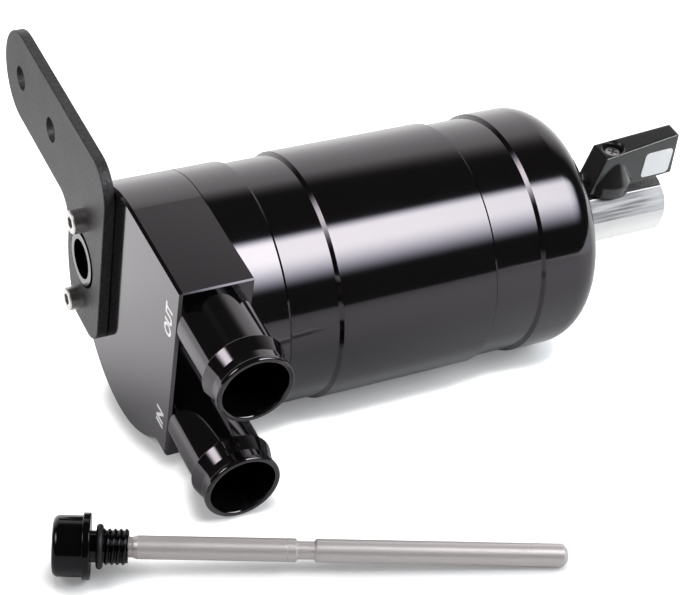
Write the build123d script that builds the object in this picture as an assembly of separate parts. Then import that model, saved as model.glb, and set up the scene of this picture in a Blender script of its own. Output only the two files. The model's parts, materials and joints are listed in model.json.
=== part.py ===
from build123d import *
import math
import os

# An oil catch can that lies on its side with its dipstick taken out, in millimetres.
# Each piece of the can is drawn in the can's own axes: X runs along the can from the face of
# the head to the drain, the hose tails point along -Y, and Z goes up the side of the head.
# Two locations at the end lay the can down and put the dipstick on the floor in front of it.

# Tank: sections along the can's axis
TANK_D = 88.9
HEAD_THICKNESS = 25.5
SKIRT_LENGTH = 17.75
BAND_LENGTH = 17.7
SLEEVE_LENGTH = 61.6
CUP_LENGTH = 27.95
BAND_DEPTH = 1.2
SPIGOT_STEP = 1.1
SPIGOT_LENGTH = 11.0
SPIGOT_WALL = 3.65
CUP_EDGE_RADIUS = 13.0
CUP_FLOOR = 8.0
CUP_INNER_RADIUS = 6.0
SCREWED_CLEARANCE = 0.05

# O-rings between the tank's sections
SEAL_SECTION = 2.0
SEAL_SIDE_ROOM = 0.4
SEAL_CLEARANCE = 0.02
SEAL_INSET = 3.0

# Head: flat port face and the bores behind it
PORT_FACE_INSET = 0.95
BLOCK_DROP = 28.6
FACE_BREAK = 0.95
PORT_BREAK = 0.5
BACK_BREAK = 0.3
BLOCK_CROOK_RADIUS = 8.0
PORT_SPACING = 44.0
PORT_BORE_D = 18.0
PORT_BORE_REACH = 40.0
GALLERY_D = 14.0
GALLERY_OFFSET = 12.0

# Hose tails
TAIL_LENGTH = 33.6
TAIL_NECK_D = 25.4
TAIL_NECK_LENGTH = 19.4
TAIL_BEAD_D = 28.1
TAIL_BEAD_RAMP = 2.2
TAIL_MOUTH_D = 26.3
TAIL_BORE_D = 19.6
TAIL_SPIGOT_D = 22.6
TAIL_SPIGOT_LENGTH = 12.0
TAIL_LIP_RADIUS = 1.0
TAIL_MOUTH_RADIUS = 1.3

# Inside: baffle plate and the tube that takes the inlet's flow below it
BAFFLE_THICKNESS = 1.5
BAFFLE_LEDGE = 1.7
BAFFLE_RIM_CLEARANCE = 0.1
BAFFLE_HOLE_D = 5.0
BAFFLE_HOLE_PITCH = 11.0
BAFFLE_WEB = 2.5
DROP_TUBE_WALL = 1.2
DROP_TUBE_LENGTH = 62.0
DROP_TUBE_SEAT = 4.0
PASSING_CLEARANCE = 0.9

# Dipstick boss on the head
BOSS_INSET = 14.45
BOSS_D = 19.4
BOSS_PROUD = 0.3
BOSS_SEAL_D = 14.6
BOSS_SEAL_DEPTH = 4.2
DIPSTICK_TAP_D = 10.2

# Bracket plate
BRACKET_THICKNESS = 4.0
BRACKET_LEG_EDGE = 12.4
BRACKET_TOP = 48.3
BRACKET_DROP = 27.8
BRACKET_ARM_WIDTH = 35.0
BRACKET_HOLE_OFFSET = 65.2
BRACKET_HOLE_SPACING = 32.2
BRACKET_HOLE_D = 9.2
BRACKET_TOP_RADIUS = 13.0
BRACKET_FOOT_RADIUS = 9.0
BRACKET_HEEL_RADIUS = 3.0
BRACKET_CROOK_RADIUS = 10.0
BRACKET_EDGE_RADIUS = 0.4
BOSS_CLEARANCE = 1.1

# Bracket screws, M5 socket heads
SCREW_D = 5.0
SCREW_SPACING = 35.2
SCREW_HEAD_D = 8.5
SCREW_HEAD_HEIGHT = 5.0
SCREW_LENGTH = 12.0
SCREW_SOCKET_AF = 4.0
SCREW_SOCKET_DEPTH = 2.6
SCREW_TIP_ROOM = 1.5
SCREW_HOLE_CLEARANCE = 0.25
SCREW_HEAD_BREAK = 0.4

# Dipstick
KNOB_D = 19.1
KNOB_LENGTH = 9.2
KNOB_EDGE_RADIUS = 2.0
FLANGE_D = 20.9
FLANGE_THICKNESS = 2.4
FLANGE_EDGE_RADIUS = 0.4
PLUG_NECK_D = 9.9
PLUG_NECK_LENGTH = 3.85
PLUG_THREAD_LENGTH = 7.75
PLUG_SEAL_SECTION = 2.1
ROD_D = 7.4
ROD_LENGTH = 135.0
ROD_NECK_D = 6.4
ROD_NECK_LENGTH = 1.2
ROD_SHOULDER = 1.7
ROD_TIP_CHAMFER = 1.4
ROD_SOCKET_DEPTH = 8.0
MARK_FROM_ROD = 46.3
MARK_WIDTH = 0.4
MARK_DEPTH = 0.15
GROOVE_FROM_ROD = 49.1
GROOVE_WIDTH = 6.5
GROOVE_DEPTH = 0.85
GROOVE_SLOPE = 0.7

# Where the dipstick lies, measured from the axis of the can at the head's face
DIPSTICK_AHEAD = -41.7
DIPSTICK_ASIDE = -77.5
DIPSTICK_HEADING = -23.3

# Drain valve
VALVE_D = 24.5
VALVE_LENGTH = 47.7
VALVE_FLAT_HEIGHT = 10.65
VALVE_END_BREAK = 1.8
VALVE_SPIGOT_D = 16.6
VALVE_SPIGOT_LENGTH = 10.0
VALVE_WAY_D = 10.0
VALVE_CAVITY_D = 16.4
VALVE_OUTLET_D = 16.8
VALVE_OUTLET_DEPTH = 9.2
BALL_D = 15.8
BALL_CLEARANCE = 0.08
SEAT_DEPTH = 2.8
SEAT_ANGLE = 46.0
SEAT_FACE = 8.2
RING_CLEARANCE = 0.05
RETAINER_SLOT = 2.0
DRAIN_SEAL_SECTION = 1.8

# Stem, lever and its screw
STEM_D = 7.0
STEM_CLEARANCE = 0.05
STEM_FLATS = 5.0
STEM_TOP = 22.0
STEM_TANG = 3.0
TANG_DEPTH = 2.0
TANG_CLEARANCE = 0.1
STEM_SEAL_SECTION = 1.0
STEM_SEAL_HEIGHT = 9.5
LEVER_GAP = 1.3
LEVER_HEEL = 9.85
LEVER_HEEL_TOP = 5.75
LEVER_REACH = 26.55
LEVER_TIP_LEAN = 1.1
LEVER_HEEL_HEIGHT = 27.95
LEVER_TIP_HEIGHT = 31.95
LEVER_TIP_CLEAR = 13.8
LEVER_HEEL_WIDTH = 10.2
LEVER_TIP_WIDTH = 7.0
LEVER_EDGE_RADIUS = 0.6
HUB_D = 18.8
HUB_RIM = 4.2
HUB_TOP_D = 9.4
HUB_TOP = 25.0
LEVER_SCREW_D = 3.0
LEVER_SCREW_LENGTH = 8.0
LEVER_SCREW_HEAD_D = 6.3
LEVER_SCREW_HEAD_HEIGHT = 1.8
LEVER_SCREW_SEAT = 25.2
CROSS_WIDTH = 0.9
CROSS_SPAN = 3.9
CROSS_DEPTH = 1.0
COUNTERBORE_CLEARANCE = 0.85
PANEL_LENGTH = 12.6
PANEL_WIDTH = 11.2
PANEL_THICKNESS = 0.25
PANEL_RADIUS = 1.6
PANEL_REACH = 19.05
PANEL_HEIGHT = 20.6

# Places that follow from the sizes above
TANK_R = TANK_D / 2
BAND_R = TANK_R - BAND_DEPTH
SPIGOT_R = BAND_R - SPIGOT_STEP
TUBE_BORE_R = SPIGOT_R - SPIGOT_WALL
SKIRT_BORE_R = SPIGOT_R + SCREWED_CLEARANCE
PLENUM_R = SKIRT_BORE_R - BAFFLE_LEDGE
SKIRT_END = HEAD_THICKNESS + SKIRT_LENGTH
SLEEVE_START = SKIRT_END + BAND_LENGTH
SLEEVE_END = SLEEVE_START + SLEEVE_LENGTH
CUP_START = SLEEVE_END + BAND_LENGTH
CUP_END = CUP_START + CUP_LENGTH
TUBE_START = SKIRT_END - SPIGOT_LENGTH
TUBE_END = CUP_START + SPIGOT_LENGTH
BAFFLE_START = TUBE_START - BAFFLE_THICKNESS
SEAL_GROOVE_R = SKIRT_BORE_R - SEAL_SECTION
PORT_X = HEAD_THICKNESS / 2
PORT_FACE_OFFSET = TANK_R - PORT_FACE_INSET
PORT_MIDDLE = (TANK_R - BLOCK_DROP) / 2
OUTLET_Z = PORT_MIDDLE + PORT_SPACING / 2
INLET_Z = PORT_MIDDLE - PORT_SPACING / 2
DROP_TUBE_R = GALLERY_D / 2 - SCREWED_CLEARANCE
BOSS_OFFSET = TANK_R - BOSS_INSET
BOSS_TOP = -BRACKET_THICKNESS - BOSS_PROUD
ARM_MIDDLE = BRACKET_TOP - BRACKET_ARM_WIDTH / 2
ARM_END = BRACKET_HOLE_OFFSET + BRACKET_HOLE_SPACING
PLUG_END = PLUG_NECK_LENGTH + PLUG_THREAD_LENGTH
ROD_FULL = PLUG_END + ROD_NECK_LENGTH + ROD_SHOULDER
ROD_TIP = ROD_FULL + ROD_LENGTH
VALVE_END = CUP_END + VALVE_LENGTH
PIVOT_X = CUP_END + VALVE_LENGTH / 2
LEVER_BASE = VALVE_FLAT_HEIGHT + LEVER_GAP
LEVER_TIP = LEVER_REACH + LEVER_TIP_LEAN
BALL_R = BALL_D / 2
CAVITY_R = VALVE_CAVITY_D / 2
TANG_FLOOR = BALL_R - TANG_DEPTH
LEVER_TAPER = math.atan2((LEVER_HEEL_WIDTH - LEVER_TIP_WIDTH) / 2, LEVER_HEEL + LEVER_TIP)

# The can rolls on its side until the lip of the inlet tail meets the floor
TAIL_CREST = TAIL_NECK_LENGTH + TAIL_BEAD_RAMP
TAIL_TAPER = math.atan2((TAIL_BEAD_D - TAIL_MOUTH_D) / 2, TAIL_LENGTH - TAIL_CREST)
LIP_R = TAIL_MOUTH_D / 2 + TAIL_LIP_RADIUS * (math.tan(TAIL_TAPER) - 1 / math.cos(TAIL_TAPER))
LIP_REACH = PORT_FACE_OFFSET + TAIL_LENGTH - TAIL_LIP_RADIUS
LIP_DROP = LIP_R - INLET_Z
LIP_ANGLE = math.atan2(LIP_DROP, LIP_REACH)
ROLL = math.asin((TANK_R - TAIL_LIP_RADIUS) / math.hypot(LIP_REACH, LIP_DROP)) - LIP_ANGLE


def turned(points, radii=0):
    """A solid turned about X from a closed outline of (x, radius) points, rounded by radii."""
    return revolve(make_face(FilletPolyline(*points, radius=radii, close=True)), Axis.X)


def bar_x(radius, start, end, y=0, z=0):
    """A round bar along X."""
    bar = Cylinder(radius, end - start, align=(Align.CENTER, Align.CENTER, Align.MIN))
    return Pos(start, y, z) * Rot(Y=90) * bar


def bar_z(radius, low, high, x=0):
    """A round bar along Z."""
    bar = Cylinder(radius, high - low, align=(Align.CENTER, Align.CENTER, Align.MIN))
    return Pos(x, 0, low) * bar


def ring_x(section, radius, x):
    """An O-ring about X, of the given section, with its middle at a radius."""
    return Pos(x, 0, 0) * Rot(Y=90) * Torus(radius, section / 2)


def screw_places():
    """The two bracket screws, either side of the dipstick's boss."""
    return [Pos(0, BOSS_OFFSET, side * SCREW_SPACING / 2) for side in (1, -1)]


def head_block():
    """The head's disc, run out into a square corner that carries the port face."""
    corner = Rectangle(PORT_FACE_OFFSET, TANK_R + BLOCK_DROP, align=(Align.MAX, Align.MAX))
    inside = Rectangle(PORT_FACE_OFFSET + TANK_R, TANK_D, align=(Align.MIN, Align.CENTER))
    outline = Circle(TANK_R) + Pos(0, TANK_R) * corner & Pos(-PORT_FACE_OFFSET, 0) * inside
    crook = (-math.sqrt(TANK_R ** 2 - BLOCK_DROP ** 2), -BLOCK_DROP)
    outline = fillet(outline.vertices().sort_by_distance(crook)[0], BLOCK_CROOK_RADIUS)
    block = extrude(Plane.YZ * outline, HEAD_THICKNESS)
    block = chamfer(block.faces().sort_by(Axis.X)[0].edges(), FACE_BREAK)
    block = chamfer(block.faces().sort_by(Axis.X)[-1].edges(), BACK_BREAK)
    return chamfer(block.edges().filter_by(Axis.X).group_by(Axis.Y)[0], PORT_BREAK)


def head():
    """Head milled from the solid: port block, screwed skirt, dipstick boss and galleries."""
    skirt = bar_x(TANK_R, HEAD_THICKNESS, SKIRT_END)
    body = head_block() + chamfer(skirt.edges().sort_by(Axis.X)[-1], BAND_DEPTH)
    body += bar_x(BOSS_D / 2, BOSS_TOP, FACE_BREAK, BOSS_OFFSET)
    body -= bar_x(PLENUM_R, HEAD_THICKNESS, BAFFLE_START)
    body -= bar_x(SKIRT_BORE_R, BAFFLE_START, SKIRT_END)
    body -= bar_x(BOSS_SEAL_D / 2, BOSS_TOP, BOSS_TOP + BOSS_SEAL_DEPTH, BOSS_OFFSET)
    body -= bar_x(DIPSTICK_TAP_D / 2, BOSS_TOP, HEAD_THICKNESS, BOSS_OFFSET)
    tap_depth = SCREW_LENGTH - BRACKET_THICKNESS + SCREW_TIP_ROOM
    for place in screw_places():
        body -= place * bar_x(SCREW_D / 2 + SCREWED_CLEARANCE, 0, tap_depth)
    for z in (OUTLET_Z, INLET_Z):
        port = Pos(PORT_X, -PORT_FACE_OFFSET, z) * Rot(Z=90)
        body -= port * bar_x(TAIL_SPIGOT_D / 2 + SCREWED_CLEARANCE, 0, TAIL_SPIGOT_LENGTH)
        body -= port * bar_x(PORT_BORE_D / 2, 0, PORT_BORE_REACH)
        body -= bar_x(GALLERY_D / 2, PORT_X, HEAD_THICKNESS, -GALLERY_OFFSET, z)
    return body


def body_tube():
    """Tank tube: full diameter in the middle, sloped down to two bands and stepped to two spigots."""
    body = turned([
        (TUBE_START, TUBE_BORE_R), (TUBE_START, SPIGOT_R), (SKIRT_END, SPIGOT_R),
        (SKIRT_END, BAND_R), (SLEEVE_START, BAND_R), (SLEEVE_START + BAND_DEPTH, TANK_R),
        (SLEEVE_END - BAND_DEPTH, TANK_R), (SLEEVE_END, BAND_R), (CUP_START, BAND_R),
        (CUP_START, SPIGOT_R), (TUBE_END, SPIGOT_R), (TUBE_END, TUBE_BORE_R)])
    width = SEAL_SECTION + SEAL_SIDE_ROOM
    for x in seal_places():
        groove = bar_x(SPIGOT_R, x - width / 2, x + width / 2)
        body -= groove - bar_x(SEAL_GROOVE_R, x - width / 2, x + width / 2)
    return body


def seal_places():
    """Where the head's and the cup's O-rings lie along the can."""
    return SKIRT_END - SEAL_INSET, CUP_START + SEAL_INSET


def tank_seal(x):
    """An O-ring that fills its groove from the spigot to the bore around it."""
    middle = SKIRT_BORE_R - SEAL_SECTION / 2
    return ring_x(SEAL_SECTION - 2 * SEAL_CLEARANCE, middle, x)


def base_cup():
    """Bottom cup with a rounded edge, screwed on the tube, with the drain hole in its floor."""
    floor = CUP_END - CUP_FLOOR
    drain = VALVE_SPIGOT_D / 2 + SCREWED_CLEARANCE
    seal = drain + DRAIN_SEAL_SECTION
    seat = CUP_END - DRAIN_SEAL_SECTION
    return turned(
        [(CUP_START, SKIRT_BORE_R), (CUP_START, BAND_R), (CUP_START + BAND_DEPTH, TANK_R),
         (CUP_END, TANK_R), (CUP_END, seal), (seat, seal), (seat, drain), (floor, drain),
         (floor, TUBE_BORE_R), (TUBE_END, TUBE_BORE_R), (TUBE_END, SKIRT_BORE_R)],
        [0, 0, 0, CUP_EDGE_RADIUS, 0, 0, 0, 0, CUP_INNER_RADIUS, 0, 0])


def hose_tail(z):
    """Hose tail with a screwed spigot, a plain neck and one bead that tapers to the mouth."""
    bore = TAIL_BORE_D / 2
    neck = TAIL_NECK_D / 2
    tail = turned(
        [(-TAIL_SPIGOT_LENGTH, bore), (-TAIL_SPIGOT_LENGTH, TAIL_SPIGOT_D / 2),
         (0, TAIL_SPIGOT_D / 2), (0, neck), (TAIL_NECK_LENGTH, neck), (TAIL_CREST, TAIL_BEAD_D / 2),
         (TAIL_LENGTH, TAIL_MOUTH_D / 2), (TAIL_LENGTH, bore)],
        [0, 0, 0, 0, 0, TAIL_LIP_RADIUS, TAIL_LIP_RADIUS, TAIL_MOUTH_RADIUS])
    return Pos(PORT_X, -PORT_FACE_OFFSET, z) * Rot(Z=-90) * tail


def baffle_plate():
    """Perforated disc held between the head and the tube's end, under both galleries."""
    rim = SKIRT_BORE_R - BAFFLE_RIM_CLEARANCE
    disc = bar_x(rim, BAFFLE_START, TUBE_START)
    passages = [(-GALLERY_OFFSET, INLET_Z, DROP_TUBE_R), (BOSS_OFFSET, 0, ROD_D / 2)]
    for y, z, radius in passages:
        disc -= bar_x(radius + PASSING_CLEARANCE, BAFFLE_START, TUBE_START, y, z)
    steps = int(TUBE_BORE_R / BAFFLE_HOLE_PITCH)
    spots = [BAFFLE_HOLE_PITCH * n for n in range(-steps, steps + 1)]
    reach = TUBE_BORE_R - BAFFLE_HOLE_D / 2 - BAFFLE_WEB
    room = PASSING_CLEARANCE + BAFFLE_HOLE_D / 2 + BAFFLE_WEB
    for y in spots:
        for z in spots:
            clear = all(math.hypot(y - py, z - pz) > r + room for py, pz, r in passages)
            if clear and math.hypot(y, z) < reach:
                disc -= bar_x(BAFFLE_HOLE_D / 2, BAFFLE_START, TUBE_START, y, z)
    return disc


def drop_tube():
    """Tube pressed in the inlet's gallery, which leads the flow down past the baffle."""
    start = HEAD_THICKNESS - DROP_TUBE_SEAT
    tube = bar_x(DROP_TUBE_R, start, start + DROP_TUBE_LENGTH, -GALLERY_OFFSET, INLET_Z)
    way = DROP_TUBE_R - DROP_TUBE_WALL
    return tube - bar_x(way, start, start + DROP_TUBE_LENGTH, -GALLERY_OFFSET, INLET_Z)


def bracket_outline():
    """A leg that follows the head's rim, and an arm with a full round end."""
    arm_low = BRACKET_TOP - BRACKET_ARM_WIDTH
    arm = Rectangle(ARM_END - BRACKET_LEG_EDGE, BRACKET_ARM_WIDTH, align=(Align.MIN, Align.CENTER))
    leg = Rectangle(TANK_D, arm_low + BRACKET_DROP, align=(Align.MIN, Align.MIN))
    outline = Pos(BRACKET_LEG_EDGE, -BRACKET_DROP) * leg & Circle(TANK_R)
    outline += Pos(BRACKET_LEG_EDGE, ARM_MIDDLE) * arm
    outline += Pos(ARM_END, ARM_MIDDLE) * Circle(BRACKET_ARM_WIDTH / 2)
    corners = [
        (BRACKET_LEG_EDGE, BRACKET_TOP, BRACKET_TOP_RADIUS),
        (BRACKET_LEG_EDGE, -BRACKET_DROP, BRACKET_FOOT_RADIUS),
        (math.sqrt(TANK_R ** 2 - BRACKET_DROP ** 2), -BRACKET_DROP, BRACKET_HEEL_RADIUS),
        (math.sqrt(TANK_R ** 2 - arm_low ** 2), arm_low, BRACKET_CROOK_RADIUS),
    ]
    for y, z, radius in corners:
        outline = fillet(outline.vertices().sort_by_distance((y, z))[0], radius)
    return outline


def bracket():
    """Flat bracket plate with two bolt holes in its arm and room for the dipstick's boss."""
    plate = extrude(Plane.YZ * bracket_outline(), -BRACKET_THICKNESS)
    plate = fillet(plate.faces().filter_by(Axis.X).edges(), BRACKET_EDGE_RADIUS)
    plate -= bar_x(BOSS_D / 2 + BOSS_CLEARANCE, -BRACKET_THICKNESS, 0, BOSS_OFFSET)
    for y in (BRACKET_HOLE_OFFSET, ARM_END):
        plate -= bar_x(BRACKET_HOLE_D / 2, -BRACKET_THICKNESS, 0, y, ARM_MIDDLE)
    for place in screw_places():
        plate -= place * bar_x(SCREW_D / 2 + SCREW_HOLE_CLEARANCE, -BRACKET_THICKNESS, 0)
    return plate


def bracket_screws():
    """Socket head screws that hold the bracket to the head."""
    tip = SCREW_LENGTH - BRACKET_THICKNESS
    under = -BRACKET_THICKNESS
    top = under - SCREW_HEAD_HEIGHT
    head_r = SCREW_HEAD_D / 2
    screw = turned(
        [(top, 0), (top, head_r - SCREW_HEAD_BREAK), (top + SCREW_HEAD_BREAK, head_r),
         (under, head_r), (under, SCREW_D / 2), (tip, SCREW_D / 2), (tip, 0)])
    socket = RegularPolygon(SCREW_SOCKET_AF / 2, 6, major_radius=False)
    screw -= Pos(top, 0, 0) * extrude(Plane.YZ * socket, SCREW_SOCKET_DEPTH)
    return Compound([place * screw for place in screw_places()])


def dipstick_plug():
    """Round knob and flange on a neck that holds the O-ring; the thread's core is plain."""
    seal_r = PLUG_NECK_D / 2
    core = DIPSTICK_TAP_D / 2 - SCREWED_CLEARANCE
    knob_end = -FLANGE_THICKNESS - KNOB_LENGTH
    edge = FLANGE_EDGE_RADIUS
    plug = turned(
        [(knob_end, 0), (knob_end, KNOB_D / 2), (-FLANGE_THICKNESS, KNOB_D / 2),
         (-FLANGE_THICKNESS, FLANGE_D / 2), (0, FLANGE_D / 2), (0, seal_r),
         (PLUG_NECK_LENGTH, seal_r), (PLUG_NECK_LENGTH, core), (PLUG_END, core), (PLUG_END, 0)],
        [0, KNOB_EDGE_RADIUS, 0, edge, edge, 0, 0, 0, 0, 0])
    socket = ROD_NECK_D / 2 + SCREWED_CLEARANCE
    return plug - bar_x(socket, PLUG_END - ROD_SOCKET_DEPTH, PLUG_END)


def dipstick_seal():
    """O-ring on the plug's neck, against the thread."""
    middle = PLUG_NECK_D / 2 + PLUG_SEAL_SECTION / 2 + SEAL_CLEARANCE
    return ring_x(PLUG_SEAL_SECTION, middle, PLUG_NECK_LENGTH - PLUG_SEAL_SECTION / 2)


def dipstick_rod():
    """Rod screwed in the plug, with a scribed line and a level groove."""
    r = ROD_D / 2
    neck = ROD_NECK_D / 2
    shoulder = PLUG_END + ROD_NECK_LENGTH
    mark = ROD_FULL + MARK_FROM_ROD
    groove = ROD_FULL + GROOVE_FROM_ROD
    groove_end = groove + GROOVE_WIDTH
    return turned([
        (PLUG_END - ROD_SOCKET_DEPTH, 0), (PLUG_END - ROD_SOCKET_DEPTH, neck), (shoulder, neck),
        (ROD_FULL, r), (mark - MARK_WIDTH / 2, r), (mark, r - MARK_DEPTH), (mark + MARK_WIDTH / 2, r),
        (groove, r), (groove + GROOVE_SLOPE, r - GROOVE_DEPTH),
        (groove_end - GROOVE_SLOPE, r - GROOVE_DEPTH), (groove_end, r),
        (ROD_TIP - ROD_TIP_CHAMFER, r), (ROD_TIP, r - ROD_TIP_CHAMFER), (ROD_TIP, 0)])


def valve_body():
    """Drain valve's round body with a milled top, screwed in the cup's floor."""
    spigot = CUP_END - VALVE_SPIGOT_LENGTH
    way = VALVE_WAY_D / 2
    cavity = PIVOT_X - SEAT_FACE
    outlet = VALVE_END - VALVE_OUTLET_DEPTH
    outlet_r = VALVE_OUTLET_D / 2
    body = turned([
        (spigot, way), (spigot, VALVE_SPIGOT_D / 2), (CUP_END, VALVE_SPIGOT_D / 2),
        (CUP_END, VALVE_D / 2), (VALVE_END - VALVE_END_BREAK, VALVE_D / 2),
        (VALVE_END, VALVE_D / 2 - VALVE_END_BREAK), (VALVE_END, outlet_r), (outlet, outlet_r),
        (outlet, CAVITY_R), (cavity, CAVITY_R), (cavity, way)])
    top = Box(VALVE_LENGTH, VALVE_D, VALVE_D, align=(Align.MIN, Align.CENTER, Align.MIN))
    body -= Pos(CUP_END, 0, VALVE_FLAT_HEIGHT) * top
    return body - bar_z(STEM_D / 2 + STEM_CLEARANCE, 0, VALVE_FLAT_HEIGHT, PIVOT_X)


def valve_seats():
    """A soft ring each side of the ball, with a coned face that meets it all round."""
    way = VALVE_WAY_D / 2
    rim = CAVITY_R - RING_CLEARANCE
    front = SEAT_FACE - SEAT_DEPTH
    angle = math.radians(SEAT_ANGLE)
    touch = BALL_R + BALL_CLEARANCE
    cone_x = (touch - way * math.sin(angle)) / math.cos(angle)
    cone_r = (touch - front * math.cos(angle)) / math.sin(angle)
    seat = turned([(cone_x, way), (front, cone_r), (front, rim), (SEAT_FACE, rim), (SEAT_FACE, way)])
    return Compound([Pos(PIVOT_X, 0, 0) * Rot(Z=turn) * seat for turn in (0, 180)])


def valve_retainer():
    """Slotted ring screwed in behind the outlet, which holds the seats and the ball."""
    start = PIVOT_X + SEAT_FACE
    end = VALVE_END - VALVE_OUTLET_DEPTH
    ring = bar_x(CAVITY_R - RING_CLEARANCE, start, end) - bar_x(VALVE_WAY_D / 2, start, end)
    slot = Box(RETAINER_SLOT, VALVE_D, RETAINER_SLOT)
    return ring - Pos(end, 0, 0) * slot


def valve_ball():
    """Ball with its way along the can, so that the valve stands open, and a slot on top."""
    ball = Sphere(BALL_R) - bar_x(VALVE_WAY_D / 2, -BALL_R, BALL_R)
    slot = Box(BALL_D, STEM_TANG + 2 * TANG_CLEARANCE, BALL_R, align=(
        Align.CENTER, Align.CENTER, Align.MIN))
    return Pos(PIVOT_X, 0, 0) * (ball - Pos(0, 0, TANG_FLOOR) * slot)


def valve_stem():
    """Stem with a tang in the ball's slot, an O-ring groove and two flats for the lever."""
    r = STEM_D / 2
    tang = bar_z(r, TANG_FLOOR + TANG_CLEARANCE, CAVITY_R) & Box(STEM_D, STEM_TANG, 4 * STEM_D)
    shank = bar_z(r, CAVITY_R, LEVER_BASE)
    groove = bar_z(r, STEM_SEAL_HEIGHT - STEM_SEAL_SECTION, STEM_SEAL_HEIGHT)
    shank -= groove - bar_z(r - STEM_SEAL_SECTION, 0, STEM_TOP)
    drive = bar_z(r, LEVER_BASE, STEM_TOP) & Box(2 * STEM_D, STEM_FLATS, 2 * STEM_TOP)
    stem = tang + shank + drive
    stem -= bar_z(LEVER_SCREW_D / 2 + SCREWED_CLEARANCE, LEVER_BASE, STEM_TOP)
    return Pos(PIVOT_X, 0, 0) * stem


def stem_seal():
    """O-ring in the stem's groove."""
    section = STEM_SEAL_SECTION - 2 * SEAL_CLEARANCE
    ring = Torus(STEM_D / 2 - STEM_SEAL_SECTION / 2, section / 2)
    return Pos(PIVOT_X, 0, STEM_SEAL_HEIGHT - STEM_SEAL_SECTION / 2) * ring


def valve_lever():
    """Moulded lever: a tapered bar that leans up to its tip, on a round hub with a coned top."""
    side = Polyline((-LEVER_HEEL, LEVER_BASE), (-LEVER_HEEL_TOP, LEVER_HEEL_HEIGHT),
                    (LEVER_REACH, LEVER_TIP_HEIGHT), (LEVER_TIP, LEVER_TIP_CLEAR), close=True)
    heel = LEVER_HEEL_WIDTH / 2
    end = LEVER_TIP_WIDTH / 2
    plan = Polyline((-LEVER_HEEL, -heel), (LEVER_TIP, -end), (LEVER_TIP, end), (-LEVER_HEEL, heel),
                    close=True)
    bar = extrude(Plane.XZ * make_face(side), LEVER_HEEL_WIDTH, both=True)
    bar &= extrude(make_face(plan), 2 * LEVER_TIP_HEIGHT)
    bar = fillet(bar.edges(), LEVER_EDGE_RADIUS)
    rim_top = LEVER_BASE + HUB_RIM
    cone = Cone(HUB_D / 2, HUB_TOP_D / 2, HUB_TOP - rim_top, align=(
        Align.CENTER, Align.CENTER, Align.MIN))
    lever = bar + bar_z(HUB_D / 2, LEVER_BASE, rim_top) + Pos(0, 0, rim_top) * cone
    socket = bar_z(STEM_D / 2 + STEM_CLEARANCE, LEVER_BASE, STEM_TOP + STEM_CLEARANCE)
    lever -= socket & Box(2 * STEM_D, STEM_FLATS + 2 * STEM_CLEARANCE, 4 * STEM_TOP)
    lever -= bar_z(LEVER_SCREW_D / 2 + SCREW_HOLE_CLEARANCE, STEM_TOP, LEVER_SCREW_SEAT)
    counterbore = LEVER_SCREW_HEAD_D / 2 + COUNTERBORE_CLEARANCE
    lever -= bar_z(counterbore, LEVER_SCREW_SEAT, LEVER_TIP_HEIGHT)
    return Pos(PIVOT_X, 0, 0) * lever


def lever_screw():
    """Cross-recessed screw down through the lever into the stem."""
    top = LEVER_SCREW_SEAT + LEVER_SCREW_HEAD_HEIGHT
    screw = bar_z(LEVER_SCREW_HEAD_D / 2, LEVER_SCREW_SEAT, top)
    screw = fillet(screw.edges().group_by(Axis.Z)[-1], LEVER_SCREW_HEAD_HEIGHT / 3)
    screw += bar_z(LEVER_SCREW_D / 2, LEVER_SCREW_SEAT - LEVER_SCREW_LENGTH, LEVER_SCREW_SEAT)
    for turn in (45, 135):
        screw -= Pos(0, 0, top) * Rot(Z=turn) * Box(CROSS_SPAN, CROSS_WIDTH, 2 * CROSS_DEPTH)
    return Pos(PIVOT_X, 0, 0) * screw


def lever_panel():
    """Plain white panel on the side of the lever that faces the hose tails."""
    from_heel = (PANEL_REACH + LEVER_HEEL) * math.tan(LEVER_TAPER)
    face = Plane((PIVOT_X + PANEL_REACH, from_heel - LEVER_HEEL_WIDTH / 2, PANEL_HEIGHT),
                 x_dir=(math.cos(LEVER_TAPER), math.sin(LEVER_TAPER), 0),
                 z_dir=(math.sin(LEVER_TAPER), -math.cos(LEVER_TAPER), 0))
    return extrude(face * RectangleRounded(PANEL_LENGTH, PANEL_WIDTH, PANEL_RADIUS), PANEL_THICKNESS)


def drain_seal():
    """O-ring in the cup's floor, round the valve's spigot."""
    section = DRAIN_SEAL_SECTION - 2 * SEAL_CLEARANCE
    middle = VALVE_SPIGOT_D / 2 + SCREWED_CLEARANCE + DRAIN_SEAL_SECTION / 2
    return ring_x(section, middle, CUP_END - DRAIN_SEAL_SECTION / 2)


def lying_can():
    """The can on its side, with the origin on its axis at the mouth of the drain."""
    return Pos(-VALVE_END, 0, 0) * Rot(X=math.degrees(ROLL))


def lying_dipstick():
    """The dipstick on the floor, on its flange and on the end of its rod."""
    fall = math.atan2(FLANGE_D / 2 - ROD_D / 2, ROD_TIP - ROD_TIP_CHAMFER)
    height = FLANGE_D / 2 * math.cos(fall) - TANK_R
    place = Pos(DIPSTICK_AHEAD - VALVE_END, DIPSTICK_ASIDE, height)
    return place * Rot(Z=DIPSTICK_HEADING) * Rot(Y=math.degrees(fall))


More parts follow.
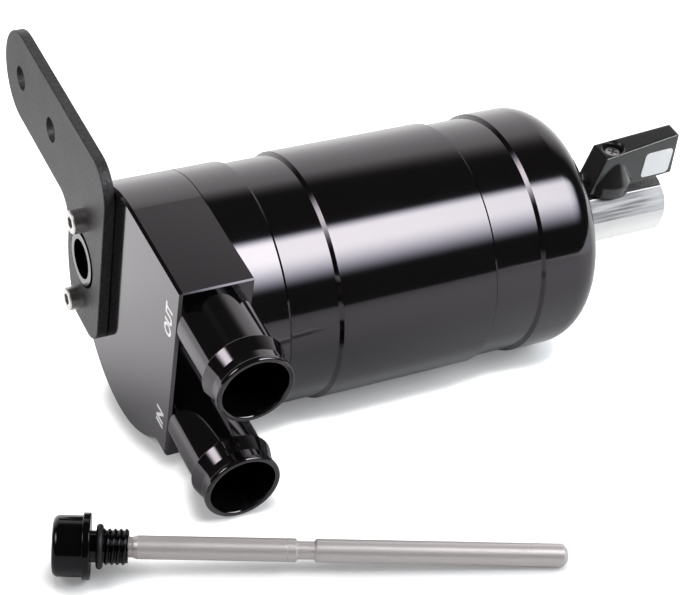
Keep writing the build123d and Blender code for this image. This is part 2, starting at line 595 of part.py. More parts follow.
CAN_PIECES = {
    "head": head(),
    "body_tube": body_tube(),
    "base_cup": base_cup(),
    "head_seal": tank_seal(seal_places()[0]),
    "base_seal": tank_seal(seal_places()[1]),
    "baffle_plate": baffle_plate(),
    "drop_tube": drop_tube(),
    "outlet_tail": hose_tail(OUTLET_Z),
    "inlet_tail": hose_tail(INLET_Z),
    "bracket": bracket(),
    "bracket_screws": bracket_screws(),
    "valve_body": valve_body(),
    "valve_seats": valve_seats(),
    "valve_retainer": valve_retainer(),
    "valve_ball": valve_ball(),
    "valve_stem": valve_stem(),
    "stem_seal": stem_seal(),
    "valve_lever": valve_lever(),
    "lever_screw": lever_screw(),
    "lever_panel": lever_panel(),
    "drain_seal": drain_seal(),
}
DIPSTICK_PIECES = {
    "dipstick_plug": dipstick_plug(),
    "dipstick_seal": dipstick_seal(),
    "dipstick_rod": dipstick_rod(),
}

os.makedirs("parts", exist_ok=True)
for place, pieces in ((lying_can(), CAN_PIECES), (lying_dipstick(), DIPSTICK_PIECES)):
    for node, piece in pieces.items():
        export_step(place * piece, f"parts/{node}.step")
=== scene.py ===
import json
import math

import bmesh
import bpy
from mathutils import Matrix, Vector


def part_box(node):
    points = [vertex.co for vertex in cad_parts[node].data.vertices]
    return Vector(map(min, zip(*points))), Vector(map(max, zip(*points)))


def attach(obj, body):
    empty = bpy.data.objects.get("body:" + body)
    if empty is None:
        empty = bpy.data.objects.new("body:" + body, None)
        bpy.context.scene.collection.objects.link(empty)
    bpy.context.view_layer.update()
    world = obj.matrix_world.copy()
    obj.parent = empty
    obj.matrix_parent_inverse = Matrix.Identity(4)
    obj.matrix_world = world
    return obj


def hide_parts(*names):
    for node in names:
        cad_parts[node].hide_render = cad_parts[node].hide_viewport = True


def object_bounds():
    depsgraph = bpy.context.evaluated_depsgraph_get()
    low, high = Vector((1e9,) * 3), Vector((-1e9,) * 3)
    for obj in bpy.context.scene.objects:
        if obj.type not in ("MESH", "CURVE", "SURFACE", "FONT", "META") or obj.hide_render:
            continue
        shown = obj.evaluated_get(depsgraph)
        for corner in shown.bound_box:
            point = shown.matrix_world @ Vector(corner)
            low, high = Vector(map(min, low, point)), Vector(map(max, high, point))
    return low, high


# Looks of an oil catch can that lies on its side, with its dipstick taken out. Metres and degrees.

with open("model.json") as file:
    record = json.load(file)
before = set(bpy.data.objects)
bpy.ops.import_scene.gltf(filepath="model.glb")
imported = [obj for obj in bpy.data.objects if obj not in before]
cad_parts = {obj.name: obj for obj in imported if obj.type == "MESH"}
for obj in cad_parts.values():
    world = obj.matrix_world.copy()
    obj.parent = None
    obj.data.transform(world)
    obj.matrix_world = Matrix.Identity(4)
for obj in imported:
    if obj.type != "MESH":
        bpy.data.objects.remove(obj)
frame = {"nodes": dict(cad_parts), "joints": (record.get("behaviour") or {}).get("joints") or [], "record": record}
cad_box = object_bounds()
nodes = frame["nodes"]

# The can's own directions and places, from the frame
ALONG = Vector((1, 0, 0))
UP = Vector(frame["joints"][0]["axis"])
SIDE = UP.cross(ALONG)
FLOOR_Z = cad_box[0].z
HEAD_FACE_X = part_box("bracket")[1].x

# Camera
CAMERA_PLACE = Vector((-0.41267, -0.54543, 0.32665))
CAMERA_AZIMUTH = -27.216
CAMERA_ELEVATION = 29.044
CAMERA_ROLL = -1.312
CAMERA_LENS = 102.07
CAMERA_SENSOR = 36.0

# Floor: its edges and its paper; painted shade that darkens the paper in front of the can, and where that turns to
# full white beside and behind it; how bright the floor glows, seen and mirrored, near the can, far from a place
# under it and in one painted pool of light; and how near to the can that glow is held back, which paints its
# contact shadow, seen and mirrored
FLOOR_FRONT = -0.48
FLOOR_BACK = 3.0
FLOOR_HALF_WIDTH = 3.0
FLOOR_WHITE = 0.90
FLOOR_FIBRE = 0.05
# Painted shade: the share of the paper's white kept in front of the can, far and near
FLOOR_FRONT_PAINTED_SHADE = (0.35, 0.80)
FLOOR_FRONT_FADE = (-0.55, -0.10)
FLOOR_TURN = (-0.08, -0.02)
FLOOR_RIGHT = (0.0, 0.2)
# Glow of the floor for the camera, low where the can is near and high in the open: the low end paints a contact
# shadow
FLOOR_SEEN_LIFT = (0.20, 0.95)
FLOOR_MIDDLE = (-0.12, 0.0)
FLOOR_FAR_LIFT = 1.0
FLOOR_FAR = (0.20, 0.70)
FLOOR_MIRRORED_FAR = (-0.20, 0.90)
# Painted pool of light on the floor behind the head, on its left: where it lies, how bright it glows in
# reflections, and how it fades
FLOOR_PAINTED_LIGHT = (-0.27, 0.12)
FLOOR_PAINTED_LIGHT_LEVEL = 0.75
FLOOR_PAINTED_LIGHT_FADE = (0.02, 0.20)
# How near to the can the glow is held back: for the camera a painted contact shadow, in reflections painted shade
# under the can
CONTACT_REACH = 0.010
CONTACT_OPEN = (0.52, 0.93)
SHELTER_REACH = 0.06
SHELTER_OPEN = (0.40, 0.95)

# Backdrop behind the can, by direction, in a dim room with two soft boxes that fade across and upward
ROOM_LEVEL = 0.04
BACKDROP_LEVEL = 1.45
BACKDROP_TOP_LEVEL = 0.60
BACKDROP_FULL_HEIGHT = 44.0
BACKDROP_END_HEIGHT = 60.0
BACKDROP_MIDDLE = 22.0
BACKDROP_FULL_HALF = 30.0
BACKDROP_END_HALF = 66.0
SOFTBOXES = {
    "softbox_right": {"place": (0.765, -0.585, 0.546), "azimuth": 180.0, "elevation": 43.0,
                      "size": (1.45, 0.82), "level": 9.5,
                      "across": (0.0, 0.03, 0.05, 0.90), "upward": (0.06, 0.59, 0.79, 0.97),
                      "rim": (0.92, 0.98, 1.13), "middle": (0.99, 1.03, 1.01)},
    "softbox_left": {"place": (-0.82, -0.02, 0.50), "azimuth": -84.0, "elevation": 35.0,
                     "size": (0.70, 0.50), "level": 7.5,
                     "across": (0.06, 0.50, 0.55, 1.0), "upward": (0.10, 0.55, 0.75, 1.0),
                     "rim": (1.0, 0.98, 1.06), "middle": (1.0, 1.0, 1.0)},
}

# Tint of the gloss on black anodised metal
ANODISED_TINT = (1.0, 0.91, 0.98, 1.0)

# Milled side of the drain valve: how far it is turned up from the can's side, how deep, where it runs out, where
# and how far its streaks grow faint, and their scales, whose darkening is partly painted shade; then how upright
# the milled top is, and its specks, whose darkening is partly painted shade under the lever
MILLED_TILT = 38.6
MILLED_DEPTH = (0.01130, 0.01145)
MILLED_END = (-0.0012, 0.0)
# Streaks darken the milled side: drawn marks, and in part painted shade
STREAK_FADE = (-0.014, -0.003)
STREAK_AND_SHADE_SHARE = (1.2, 0.75)
STREAK_SCALES = (45.0, 900.0, 900.0)
# Specks darken the milled top: milled texture, and painted shade under the lever
MILLED_TOP = (0.985, 0.995)
SPECK_AND_SHADE_SHARE = 1.2

# Thread on the dipstick's plug, M12 x 1.75
THREAD_PITCH = 0.00175
THREAD_CREST_R = 0.00570
THREAD_ROOT_R = 0.00503
THREAD_PROFILE = ((-0.0008, 0.0), (-0.00036, 0.62), (-0.00018, 0.92), (0.0, 1.0),
                  (0.00018, 0.92), (0.00036, 0.62), (0.0008, 0.0))
THREAD_LENGTH = 0.0082
THREAD_FROM_SEAL = 0.0006
THREAD_STEPS = 64
THREAD_RUN_OUT = 0.15
THREAD_RUN_OUT_TURN = 1 / 3

# Hose tails: distance from the mouth, radius and rounding of each corner of the section
TAIL_SECTION = (
    (0.0456, 0.0098, 0.0), (0.0456, 0.0113, 0.0), (0.0336, 0.0113, 0.0), (0.0336, 0.0127, 0.0),
    (0.0116, 0.0127, 0.0), (0.0102, 0.01405, 0.0004), (0.0050, 0.01265, 0.0), (0.0021, 0.01265, 0.0003),
    (0.0017, 0.01318, 0.0004), (0.0, 0.01318, 0.00085), (0.0, 0.0114, 0.00085),
    (0.0040, 0.0104, 0.0), (0.0090, 0.0098, 0.0))
TAIL_STEPS = 128
TAIL_ROUNDING_STEPS = 12
TAIL_SHARP = 9.0

# Marks by the ports on the head's face: height, place and depth, the thickness and boldness of letters as
# they are drawn at a size of 1, and where each word starts and how long it is
MARK_HEIGHT = 0.0057
MARK_BASE = -0.0393
MARK_DEPTH = 0.00004
MARK_THICKNESS = 0.5
MARK_BOLDNESS = 0.03
MARKS = {"OUT": (0.0214, 0.0127), "IN": (-0.0193, 0.0069)}

# Sockets of a Mix node that mixes vectors: its two inputs and its result
MIX_A, MIX_B, MIX_RESULT = 4, 5, 1


def spot(along, side, up):
    """A place in the row frame from distances along the can's own directions, from the head's face."""
    return Vector((HEAD_FACE_X, 0, 0)) + ALONG * along + SIDE * side + UP * up


def heading(azimuth, elevation):
    """A unit direction; azimuth 0 is +Y and 90 is +X."""
    az, el = math.radians(azimuth), math.radians(elevation)
    return Vector((math.sin(az) * math.cos(el), math.cos(az) * math.cos(el), math.sin(el)))


def centre_of(node):
    """Mean of a turned node's distinct points, which lies on its axis."""
    points = {tuple(round(c, 6) for c in v.co) for v in nodes[node].data.vertices}
    return sum((Vector(p) for p in points), Vector()) / len(points)


def add_node(tree, kind, inputs=None, **settings):
    """Add a shader node; inputs maps a socket to a value or to another node's output."""
    made = tree.nodes.new(kind)
    for name, value in settings.items():
        setattr(made, name, value)
    for key, value in (inputs or {}).items():
        if isinstance(value, bpy.types.NodeSocket):
            tree.links.new(value, made.inputs[key])
        else:
            made.inputs[key].default_value = value
    return made


def math_node(tree, operation, first, second=0.0):
    """The result of a Math node."""
    return add_node(tree, "ShaderNodeMath", {0: first, 1: second}, operation=operation).outputs[0]


def ease(tree, value, start, end, low, high):
    """A value carried smoothly from low to high between start and end."""
    made = add_node(tree, "ShaderNodeMapRange", {
        "Value": value, "From Min": start, "From Max": end, "To Min": low, "To Max": high},
        interpolation_type="SMOOTHSTEP")
    return made.outputs["Result"]


def spread(tree, value, low, high):
    """A 0 to 1 value carried straight to low to high."""
    made = add_node(tree, "ShaderNodeMapRange", {"Value": value, "To Min": low, "To Max": high})
    return made.outputs["Result"]


def position(tree):
    """The place on the object, in its own frame."""
    return add_node(tree, "ShaderNodeTexCoord").outputs["Object"]


def distance_along(tree, direction):
    """How far a point lies along a direction."""
    made = add_node(tree, "ShaderNodeVectorMath", {0: position(tree), 1: direction}, operation="DOT_PRODUCT")
    return made.outputs["Value"]


def distance_from(tree, place):
    """How far a point lies from a place."""
    made = add_node(tree, "ShaderNodeVectorMath", {0: position(tree), 1: place}, operation="DISTANCE")
    return made.outputs["Value"]


def noise(tree, scale, detail=2.0, vector=None, distance=None):
    """Noise in space, or along one distance."""
    made = tree.nodes.new("ShaderNodeTexNoise")
    made.inputs["Scale"].default_value = scale
    made.inputs["Detail"].default_value = detail
    if distance is None:
        tree.links.new(vector or position(tree), made.inputs["Vector"])
    else:
        made.noise_dimensions = "1D"
        tree.links.new(distance, made.inputs["W"])
    return made.outputs["Fac"]


def tint(tree, value, start, end):
    """A colour from start, at 0, to end, at 1."""
    made = add_node(tree, "ShaderNodeValToRGB", {"Fac": value})
    made.color_ramp.elements[0].color = (*start, 1)
    made.color_ramp.elements[1].color = (*end, 1)
    return made.outputs["Color"]


def bump(tree, height, strength, distance, normal=None):
    """A normal shaken by a height."""
    made = add_node(tree, "ShaderNodeBump", {"Height": height, "Strength": strength, "Distance": distance})
    if normal:
        tree.links.new(normal, made.inputs["Normal"])
    return made.outputs["Normal"]


def finish(name, **constants):
    """A new material with its Principled shader; constants are set on the shader's own sockets."""
    material = bpy.data.materials.new(name)
    material.use_nodes = True
    tree = material.node_tree
    shader = tree.nodes["Principled BSDF"]
    for key, value in constants.items():
        shader.inputs[key.replace("_", " ").title().replace("Ior", "IOR")].default_value = value
    return material, tree, shader


def anodised(name, grain, ior=1.85, rough=(0.07, 0.10)):
    """Gloss black anodised metal with fine tool marks square to the grain direction."""
    material, tree, shader = finish(name, ior=ior, specular_tint=ANODISED_TINT)
    marks = noise(tree, scale=2600.0, detail=3.0, distance=distance_along(tree, grain))
    clouds = noise(tree, scale=45.0, detail=3.0)
    black = tint(tree, clouds, start=(0.0016, 0.0014, 0.0014), end=(0.0034, 0.0030, 0.0030))
    tree.links.new(black, shader.inputs["Base Color"])
    tree.links.new(spread(tree, clouds, *rough), shader.inputs["Roughness"])
    tree.links.new(bump(tree, marks, strength=0.06, distance=0.00002), shader.inputs["Normal"])
    return material


def powder_coat():
    """Dark powder coat with a fine grain."""
    material, tree, shader = finish("powder_coat", ior=1.5)
    grain = noise(tree, scale=850.0, detail=3.0)
    clouds = noise(tree, scale=60.0, detail=2.0)
    coat = tint(tree, grain, start=(0.0, 0.0, 0.0), end=(0.074, 0.067, 0.071))
    tree.links.new(coat, shader.inputs["Base Color"])
    tree.links.new(spread(tree, clouds, low=0.42, high=0.52), shader.inputs["Roughness"])
    tree.links.new(bump(tree, grain, strength=0.8, distance=0.0003), shader.inputs["Normal"])
    return material


def turned_metal(name, grain, dark, light, rough, metallic=1.0, stretch=0.5):
    """Bare metal with fine rings square to the grain direction, which stretch its highlights."""
    material, tree, shader = finish(name, metallic=metallic, anisotropic=stretch, anisotropic_rotation=0.25)
    normal = add_node(tree, "ShaderNodeNewGeometry").outputs["Normal"]
    around = add_node(tree, "ShaderNodeVectorMath", {0: normal, 1: grain}, operation="CROSS_PRODUCT")
    tree.links.new(around.outputs["Vector"], shader.inputs["Tangent"])
    rings = noise(tree, scale=3500.0, detail=4.0, distance=distance_along(tree, grain))
    clouds = noise(tree, scale=110.0, detail=3.0)
    tree.links.new(tint(tree, rings, dark, light), shader.inputs["Base Color"])
    tree.links.new(spread(tree, clouds, *rough), shader.inputs["Roughness"])
    tree.links.new(bump(tree, rings, strength=0.12, distance=0.00002), shader.inputs["Normal"])
    return material


def drawn_nickel():
    """Bright nickel plate, with a side of the valve milled flat and streaked, and its top milled dull; streaks and
    specks darken the colour, partly as painted shade on the side and under the lever.
    """
    material, tree, shader = finish("nickel_plate", metallic=1.0)
    tilt = math.radians(MILLED_TILT)
    facing = UP * math.sin(tilt) - SIDE * math.cos(tilt)
    along = distance_along(tree, ALONG)
    deep = ease(tree, distance_along(tree, facing), *MILLED_DEPTH, 0.0, 1.0)
    milled = math_node(tree, "MULTIPLY", deep, ease(tree, along, *MILLED_END, 1.0, 0.0))
    round_normal = add_node(tree, "ShaderNodeNewGeometry").outputs["Normal"]
    upright = add_node(tree, "ShaderNodeVectorMath", {0: round_normal, 1: UP}, operation="DOT_PRODUCT")
    top = ease(tree, upright.outputs["Value"], *MILLED_TOP, 0.0, 1.0)
    milled = math_node(tree, "MULTIPLY", milled, math_node(tree, "SUBTRACT", 1.0, top))
    stretched = add_node(tree, "ShaderNodeVectorMath", {0: position(tree), 1: STREAK_SCALES},
                         operation="MULTIPLY").outputs["Vector"]
    streaks = noise(tree, scale=1.0, detail=4.0, vector=stretched)
    # Streaks darken the milled side's colour, less towards the valve's end: drawn marks, and in part painted shade
    streaked_shade = math_node(tree, "MULTIPLY", milled, ease(tree, along, *STREAK_FADE, *STREAK_AND_SHADE_SHARE))
    # Specks darken the milled top's colour: milled texture, and painted shade under the lever
    specks = noise(tree, scale=2200.0, detail=2.0)
    speckled_shade = math_node(tree, "MULTIPLY", top, SPECK_AND_SHADE_SHARE)
    marks = math_node(tree, "ADD", math_node(tree, "MULTIPLY", streaks, streaked_shade),
                      math_node(tree, "MULTIPLY", specks, speckled_shade))
    lean = add_node(tree, "ShaderNodeMix", {"Factor": milled, MIX_A: round_normal, MIX_B: facing},
                    data_type="VECTOR").outputs[MIX_RESULT]
    plate = tint(tree, marks, start=(0.945, 0.925, 0.915), end=(0.02, 0.015, 0.02))
    tree.links.new(plate, shader.inputs["Base Color"])
    tree.links.new(spread(tree, marks, low=0.30, high=0.44), shader.inputs["Roughness"])
    tree.links.new(bump(tree, marks, strength=0.35, distance=0.00005, normal=lean), shader.inputs["Normal"])
    return material


def moulded(name, dark, light, rough, edge=0.0002, ior=1.5):
    """Plastic or rubber with a fine moulded grain and edges softened by a radius."""
    material, tree, shader = finish(name, ior=ior)
    grain = noise(tree, scale=1800.0, detail=2.0)
    clouds = noise(tree, scale=140.0, detail=2.0)
    softened = add_node(tree, "ShaderNodeBevel", {"Radius": edge}, samples=8).outputs["Normal"]
    tree.links.new(tint(tree, clouds, dark, light), shader.inputs["Base Color"])
    tree.links.new(spread(tree, clouds, *rough), shader.inputs["Roughness"])
    shaken = bump(tree, grain, strength=0.3, distance=0.00003, normal=softened)
    tree.links.new(shaken, shader.inputs["Normal"])
    return material


def dress(materials):
    """Give each CAD node its material."""
    for material, names in materials:
        for name in names:
            slots = nodes[name].data.materials
            slots.clear()
            slots.append(material)


def mesh_object(name, build):
    """A new mesh piece from a function that fills a bmesh."""
    shape = bmesh.new()
    build(shape)
    bmesh.ops.recalc_face_normals(shape, faces=shape.faces)
    mesh = bpy.data.meshes.new(name)
    shape.to_mesh(mesh)
    shape.free()
    piece = bpy.data.objects.new(name, mesh)
    bpy.context.scene.collection.objects.link(piece)
    return piece


def bridge(shape, here, there):
    """Smooth faces between two closed rows of points."""
    for i in range(len(here)):
        j = (i + 1) % len(here)
        shape.faces.new((here[i], here[j], there[j], there[i])).smooth = True


def thread(axis, start, material):
    """Helical ridge on the plug's core, which fades in and out at its ends."""
    across = axis.cross(Vector((0, 0, 1))).normalized()
    lift = across.cross(axis)
    total = round(THREAD_STEPS * THREAD_LENGTH / THREAD_PITCH)
    run_out = THREAD_STEPS * THREAD_RUN_OUT_TURN

    def build(shape):
        rows = []
        for step in range(total + 1):
            turn = 2 * math.pi * step / THREAD_STEPS
            out = across * math.cos(turn) + lift * math.sin(turn)
            ends = min(1, step / run_out, (total - step) / run_out)
            fade = THREAD_RUN_OUT + (1 - THREAD_RUN_OUT) * ends
            height = (THREAD_CREST_R - THREAD_ROOT_R) * fade
            middle = start + axis * (THREAD_PITCH * step / THREAD_STEPS)
            points = (middle + axis * (along * fade) + out * (THREAD_ROOT_R + height * share)
                      for along, share in THREAD_PROFILE)
            rows.append([shape.verts.new(point) for point in points])
        for here, there in zip(rows, rows[1:]):
            bridge(shape, here, there)
        shape.faces.new(rows[0])
        shape.faces.new(reversed(rows[-1]))

    piece = mesh_object("plug_thread", build)
    piece.data.materials.append(material)
    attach(piece, "can")


def rounded(section):
    """Points of a closed section, with an arc at each corner that has a rounding."""
    points = []
    for before, (*place, radius), after in zip(section[-1:] + section, section, section[1:] + section[:1]):
        corner = Vector(place)
        if not radius:
            points.append(corner)
            continue
        back, on = ((Vector(other[:2]) - corner).normalized() for other in (before, after))
        half = back.angle(on) / 2
        centre = corner + (back + on).normalized() * (radius / math.sin(half))
        start, end = (corner + way * (radius / math.tan(half)) - centre for way in (back, on))
        points += [centre + start.lerp(end, step / TAIL_ROUNDING_STEPS).normalized() * radius
                   for step in range(TAIL_ROUNDING_STEPS + 1)]
    return points


def hose_tail(node, mount, material):
    """Turned hose tail whose bead tapers to a short neck and a rolled lip."""
    axis = Vector(mount["axis"])
    middle = Vector(mount["pos_m"])
    mouth = middle + axis * (max(v.co.dot(axis) for v in nodes[node].data.vertices) - middle.dot(axis))
    lift = axis.cross(ALONG)
    section = rounded(TAIL_SECTION)

    def build(shape):
        rings = []
        for step in range(TAIL_STEPS):
            turn = 2 * math.pi * step / TAIL_STEPS
            out = ALONG * math.cos(turn) + lift * math.sin(turn)
            rings.append([shape.verts.new(mouth - axis * depth + out * radius) for depth, radius in section])
        for here, there in zip(rings, rings[1:] + rings[:1]):
            bridge(shape, here, there)

    piece = mesh_object(f"{node}_turned", build)
    piece.data.set_sharp_from_angle(angle=math.radians(TAIL_SHARP))
    piece.data.materials.append(material)
    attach(piece, "can")
    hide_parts(node)


def port_mark(word, start, length, material):
    """A word etched on the head's face, which reads up along the port face's edge."""
    curve = bpy.data.curves.new(f"mark_{word.lower()}", "FONT")
    curve.body = word
    curve.extrude = MARK_THICKNESS
    curve.offset = MARK_BOLDNESS
    letters = bpy.data.objects.new(curve.name, curve)
    bpy.context.scene.collection.objects.link(letters)
    bpy.context.view_layer.update()
    mesh = bpy.data.meshes.new_from_object(letters.evaluated_get(bpy.context.evaluated_depsgraph_get()))
    bpy.data.objects.remove(letters)
    low = Vector(min(v.co[i] for v in mesh.vertices) for i in range(3))
    high = Vector(max(v.co[i] for v in mesh.vertices) for i in range(3))
    size = high - low
    for vertex in mesh.vertices:
        across, up, out = ((vertex.co[i] - low[i]) / size[i] for i in range(3))
        vertex.co = spot(-MARK_DEPTH * out, MARK_BASE + MARK_HEIGHT * up, start + length * across)
    mesh.materials.clear()
    mesh.materials.append(material)
    piece = bpy.data.objects.new(f"mark_{word.lower()}", mesh)
    bpy.context.scene.collection.objects.link(piece)
    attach(piece, "can")


def add_camera():
    """Camera in front of the can, to its left and above it, with a slight roll."""
    az, el, roll = (math.radians(v) for v in (CAMERA_AZIMUTH, CAMERA_ELEVATION, CAMERA_ROLL))
    back = Vector((math.sin(az) * math.cos(el), -math.cos(az) * math.cos(el), math.sin(el)))
    level = (-back).cross(Vector((0, 0, 1))).normalized()
    down = (-back).cross(level)
    right = level * math.cos(roll) + down * math.sin(roll)
    up = back.cross(right)
    data = bpy.data.cameras.new("camera")
    data.lens = CAMERA_LENS
    data.sensor_width = CAMERA_SENSOR
    camera = bpy.data.objects.new("camera", data)
    camera.matrix_world = Matrix.Translation(CAMERA_PLACE) @ Matrix((right, up, back)).transposed().to_4x4()
    bpy.context.scene.collection.objects.link(camera)
    bpy.context.scene.camera = camera


def add_floor():
    """Pale paper floor that ends in front of the can. Painted shade darkens it in front of the can. It glows, less
    near the can, which paints a contact shadow, and it shows a painted pool of light in reflections.
    """
    material, tree, shader = finish("floor_paper", roughness=0.8)
    fibres = noise(tree, scale=700.0, detail=3.0)
    behind = distance_along(tree, (0, 1, 0))
    away = distance_from(tree, (*FLOOR_MIDDLE, FLOOR_Z))
    far = ease(tree, away, *FLOOR_FAR, 0.0, FLOOR_FAR_LIFT)
    mirrored_far = ease(tree, away, *FLOOR_MIRRORED_FAR, 0.0, FLOOR_FAR_LIFT)
    from_painted_light = distance_from(tree, (*FLOOR_PAINTED_LIGHT, FLOOR_Z))
    painted_light_spot = ease(tree, from_painted_light, *FLOOR_PAINTED_LIGHT_FADE, FLOOR_PAINTED_LIGHT_LEVEL, 0.0)
    paper = tint(tree, fibres, (FLOOR_WHITE - FLOOR_FIBRE,) * 3, (FLOOR_WHITE,) * 3)
    # Painted shade: the paper is darkened in front of the can and turns to full white beside and behind it
    share = math_node(tree, "MAXIMUM", ease(tree, behind, *FLOOR_TURN, 0.0, 1.0),
                      ease(tree, distance_along(tree, (1, 0, 0)), *FLOOR_RIGHT, 0.0, 1.0))
    share = math_node(tree, "MAXIMUM", share, ease(tree, behind, *FLOOR_FRONT_FADE, *FLOOR_FRONT_PAINTED_SHADE))
    graded = add_node(tree, "ShaderNodeVectorMath", {0: paper, "Scale": share}, operation="SCALE")
    tree.links.new(graded.outputs["Vector"], shader.inputs["Base Color"])
    tree.links.new(bump(tree, fibres, strength=0.4, distance=0.0003), shader.inputs["Normal"])
    paths = add_node(tree, "ShaderNodeLightPath")
    # Glow seen by the camera, held back near the can, which paints its contact shadow
    open_sky = add_node(tree, "ShaderNodeAmbientOcclusion", {"Distance": CONTACT_REACH}).outputs["AO"]
    seen = math_node(tree, "ADD", ease(tree, open_sky, *CONTACT_OPEN, *FLOOR_SEEN_LIFT), far)
    # Glow seen in reflections, behind the can only: it grows far out and in a painted pool of light, and painted
    # shade holds it back under the can
    sheltered = add_node(tree, "ShaderNodeAmbientOcclusion", {"Distance": SHELTER_REACH}).outputs["AO"]
    mirrored = math_node(tree, "MULTIPLY", ease(tree, behind, *FLOOR_TURN, 0.0, 1.0),
                         math_node(tree, "ADD", mirrored_far, painted_light_spot))
    mirrored = math_node(tree, "MULTIPLY", mirrored, ease(tree, sheltered, *SHELTER_OPEN, 0.0, 1.0))
    lift = math_node(tree, "ADD", math_node(tree, "MULTIPLY", seen, paths.outputs["Is Camera Ray"]),
                     math_node(tree, "MULTIPLY", mirrored, paths.outputs["Is Glossy Ray"]))
    tree.links.new(lift, shader.inputs["Emission Strength"])
    shader.inputs["Emission Color"].default_value = (1, 1, 1, 1)
    corners = [(x, y, FLOOR_Z) for x, y in ((-FLOOR_HALF_WIDTH, FLOOR_FRONT), (FLOOR_HALF_WIDTH, FLOOR_FRONT),
                                            (FLOOR_HALF_WIDTH, FLOOR_BACK), (-FLOOR_HALF_WIDTH, FLOOR_BACK))]
    floor = mesh_object("floor", lambda shape: shape.faces.new([shape.verts.new(c) for c in corners]))
    floor.data.materials.append(material)


def add_world():
    """White backdrop behind the can and a dim room in front, by direction."""
    world = bpy.data.worlds.new("studio")
    bpy.context.scene.world = world
    world.use_nodes = True
    tree = world.node_tree
    direction = add_node(tree, "ShaderNodeTexCoord").outputs["Generated"]
    parts = add_node(tree, "ShaderNodeSeparateXYZ", {0: direction})
    height = ease(tree, parts.outputs["Z"], math.sin(math.radians(BACKDROP_FULL_HEIGHT)),
                  math.sin(math.radians(BACKDROP_END_HEIGHT)), 1.0, 0.0)
    azimuth = math_node(tree, "ARCTAN2", parts.outputs["X"], parts.outputs["Y"])
    aside = math_node(tree, "ABSOLUTE", math_node(tree, "SUBTRACT", azimuth, math.radians(BACKDROP_MIDDLE)))
    width = ease(tree, aside, math.radians(BACKDROP_FULL_HALF), math.radians(BACKDROP_END_HALF), 1.0, 0.0)
    graded = spread(tree, parts.outputs["Z"], BACKDROP_LEVEL, BACKDROP_TOP_LEVEL)
    level = math_node(tree, "MULTIPLY", math_node(tree, "MULTIPLY", height, width), graded)
    level = math_node(tree, "ADD", level, ROOM_LEVEL)
    seen = add_node(tree, "ShaderNodeLightPath").outputs["Is Camera Ray"]
    shown = math_node(tree, "MAXIMUM", level, seen)
    tree.links.new(shown, tree.nodes["Background"].inputs["Strength"])
    tree.nodes["Background"].inputs["Color"].default_value = (1, 1, 1, 1)


def add_softbox(name, place, azimuth, elevation, size, level, across, upward, rim, middle):
    """A large soft box that faces back along a heading and fades to its cooler edges."""
    data = bpy.data.lights.new(name, "AREA")
    data.shape = "RECTANGLE"
    data.size, data.size_y = size
    data.energy = math.pi * size[0] * size[1] * level
    data.use_nodes = True
    tree = data.node_tree
    place_on_box = add_node(tree, "ShaderNodeNewGeometry").outputs["Parametric"]
    parts = add_node(tree, "ShaderNodeSeparateXYZ", {0: place_on_box})
    sides = []
    for way, (start, full, fall, end) in (("X", across), ("Y", upward)):
        rise = ease(tree, parts.outputs[way], start, full, 0.0, 1.0)
        sides.append(math_node(tree, "MULTIPLY", rise, ease(tree, parts.outputs[way], fall, end, 1.0, 0.0)))
    strength = math_node(tree, "MULTIPLY", *sides)
    tree.links.new(tint(tree, strength, rim, middle), tree.nodes["Emission"].inputs["Color"])
    tree.links.new(strength, tree.nodes["Emission"].inputs["Strength"])
    lamp = bpy.data.objects.new(name, data)
    lamp.location = place
    lamp.rotation_mode = "QUATERNION"
    lamp.rotation_quaternion = (-heading(azimuth, elevation)).to_track_quat("-Z", "Y")
    lamp.visible_camera = False
    bpy.context.scene.collection.objects.link(lamp)


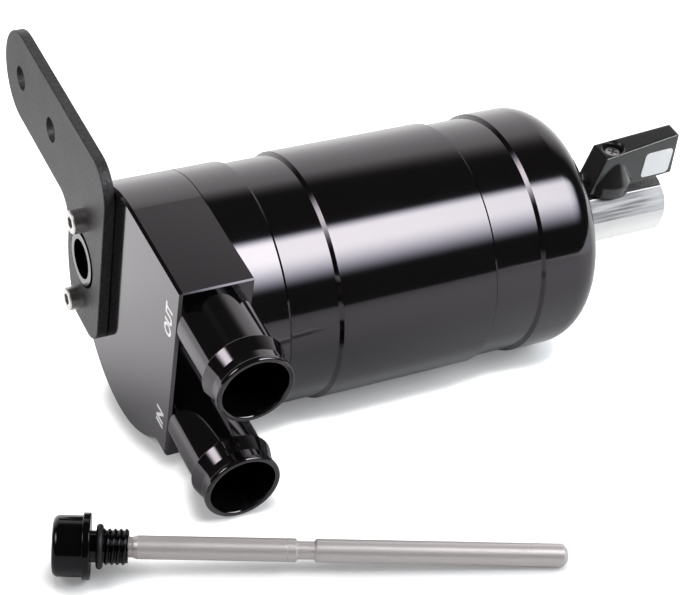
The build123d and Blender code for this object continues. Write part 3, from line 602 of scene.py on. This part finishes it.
dipstick_axis = (centre_of("dipstick_rod") - centre_of("dipstick_seal")).normalized()
tank_black = anodised("anodised_tank", ALONG)
tail_black = anodised("anodised_tail", SIDE)
plug_black = anodised("anodised_plug", dipstick_axis, ior=1.42)
head_black = anodised("anodised_head", UP, ior=1.95)
stainless = turned_metal("stainless", ALONG, dark=(0.54, 0.52, 0.50), light=(0.70, 0.68, 0.66),
                         rough=(0.30, 0.40), stretch=0.0)
rod_metal = turned_metal("bare_aluminium", dipstick_axis, dark=(0.70, 0.635, 0.62), light=(0.82, 0.75, 0.735),
                         rough=(0.38, 0.46), metallic=0.5)
etched = turned_metal("etched_mark", UP, dark=(0.84, 0.84, 0.84), light=(0.94, 0.94, 0.94),
                      rough=(0.45, 0.55))
inner_aluminium = turned_metal("inner_aluminium", ALONG, dark=(0.48, 0.48, 0.48), light=(0.62, 0.62, 0.62),
                               rough=(0.3, 0.4))
chrome = turned_metal("chrome", UP, dark=(0.70, 0.70, 0.71), light=(0.78, 0.78, 0.79), rough=(0.05, 0.09))
rubber = moulded("rubber", dark=(0.010, 0.010, 0.011), light=(0.020, 0.020, 0.021), rough=(0.42, 0.55))
seat_plastic = moulded("seat_plastic", dark=(0.80, 0.80, 0.78), light=(0.88, 0.88, 0.86), rough=(0.4, 0.5))
black_plastic = moulded("black_plastic", dark=(0.012, 0.011, 0.011), light=(0.020, 0.018, 0.018),
                        rough=(0.12, 0.18), edge=0.0011, ior=1.75)
white_panel = moulded("white_panel", dark=(0.94, 0.94, 0.94), light=(0.97, 0.97, 0.97), rough=(0.3, 0.4))
dress([
    (tank_black, ["body_tube", "base_cup"]),
    (head_black, ["head"]),
    (tail_black, ["outlet_tail", "inlet_tail"]),
    (plug_black, ["dipstick_plug"]),
    (powder_coat(), ["bracket"]),
    (stainless, ["bracket_screws", "lever_screw"]),
    (rod_metal, ["dipstick_rod"]),
    (inner_aluminium, ["baffle_plate", "drop_tube"]),
    (rubber, ["head_seal", "base_seal", "drain_seal", "dipstick_seal", "stem_seal"]),
    (drawn_nickel(), ["valve_body", "valve_retainer", "valve_stem"]),
    (chrome, ["valve_ball"]),
    (seat_plastic, ["valve_seats"]),
    (black_plastic, ["valve_lever"]),
    (white_panel, ["lever_panel"]),
])
mounts = {mount["name"]: mount for mount in frame["record"]["mounts"]}
for port in ("outlet", "inlet"):
    hose_tail(f"{port}_tail", mounts[f"{port}_bore"], tail_black)
thread(dipstick_axis, centre_of("dipstick_seal") + dipstick_axis * THREAD_FROM_SEAL, plug_black)
for word, (start, length) in MARKS.items():
    port_mark(word, start, length, etched)

add_camera()
add_floor()
add_world()
for name, box in SOFTBOXES.items():
    add_softbox(name, **box)
bpy.context.scene.view_settings.view_transform = "Standard"
